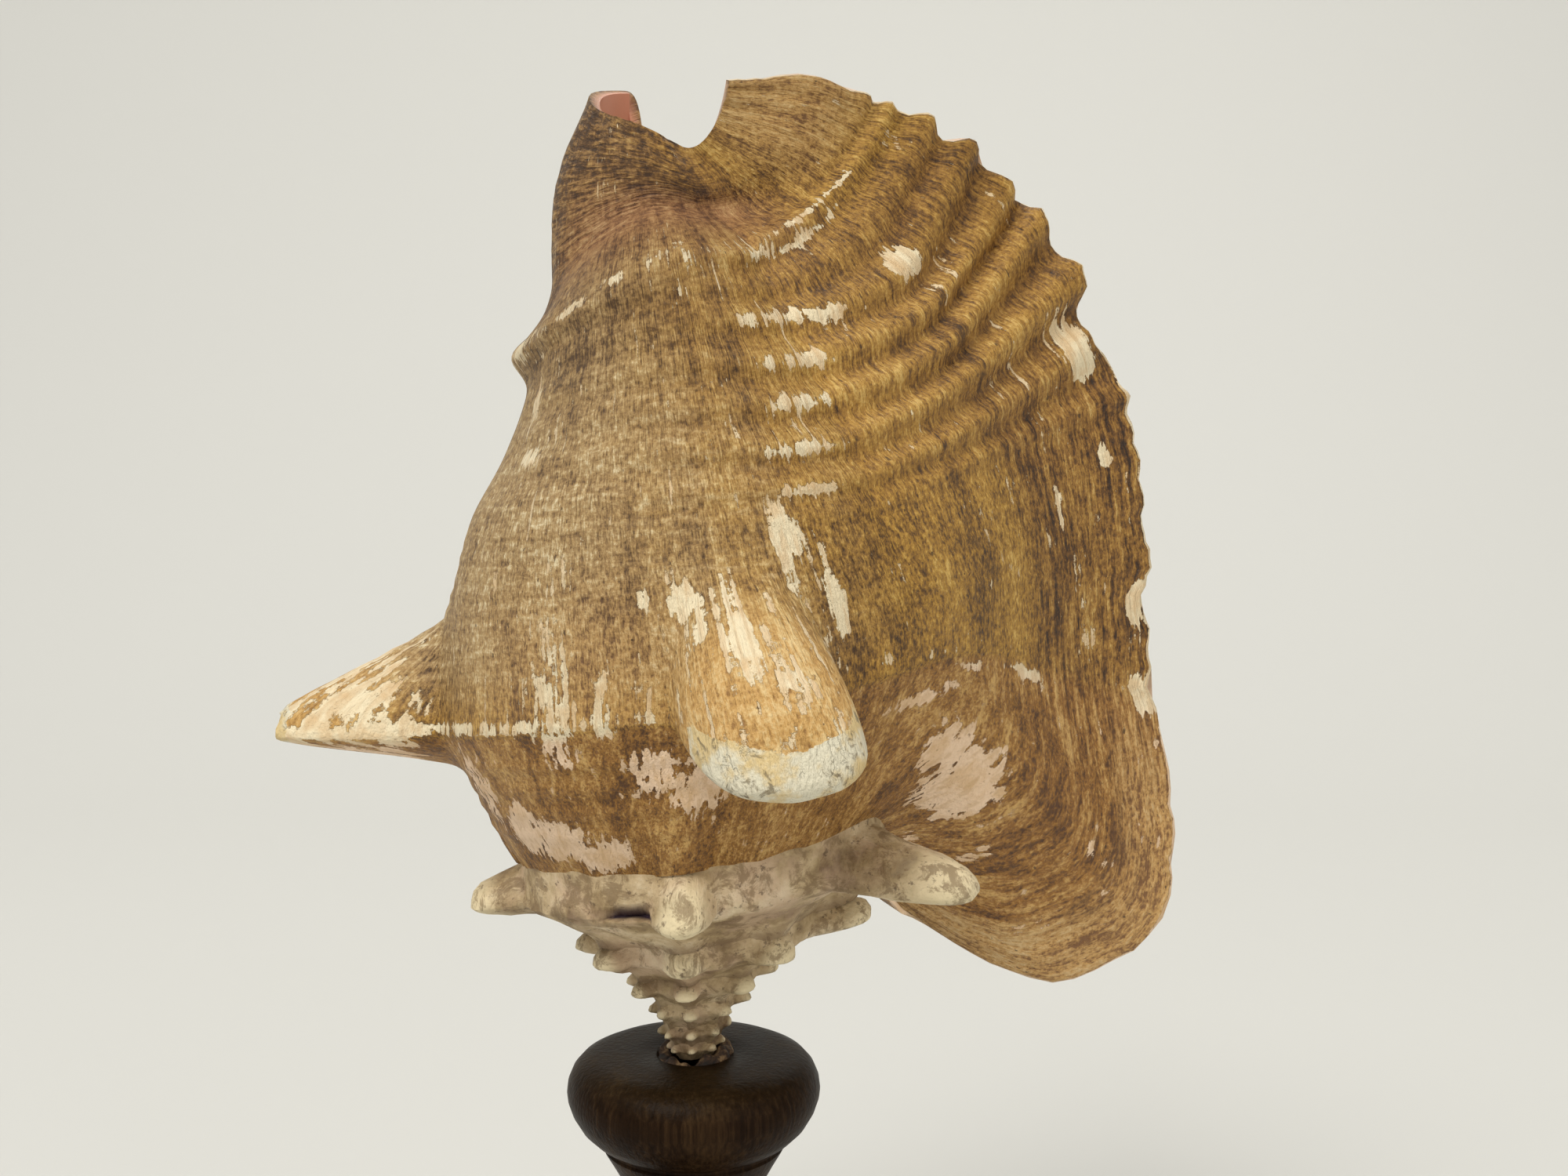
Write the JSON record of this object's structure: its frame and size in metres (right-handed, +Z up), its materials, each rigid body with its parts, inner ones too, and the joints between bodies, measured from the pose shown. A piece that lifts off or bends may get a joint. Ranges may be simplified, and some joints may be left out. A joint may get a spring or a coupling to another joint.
{
  "type": "conch shell on stand",
  "caption": "Large conch shell with a flared lip and blunt spines, standing spire down in the socket of a turned dark wooden stand",
  "frame": {"origin": "centre of the flat underside of the stand's foot, on the surface that it stands on", "axes": "+Z up along the stand's axis, +Y away from the viewer towards the side where the shell's mouth opens, +X towards the flared lip"},
  "size_m": [0.228, 0.1715, 0.3847],
  "materials": {
    "shell": "matte golden brown outer skin with cream worn patches, pink inside",
    "stand": "dark brown stain with a satin sheen"
  },
  "bodies": {
    "root": {"shell": "shell", "stand": "stand"}
  },
  "joints": []
}
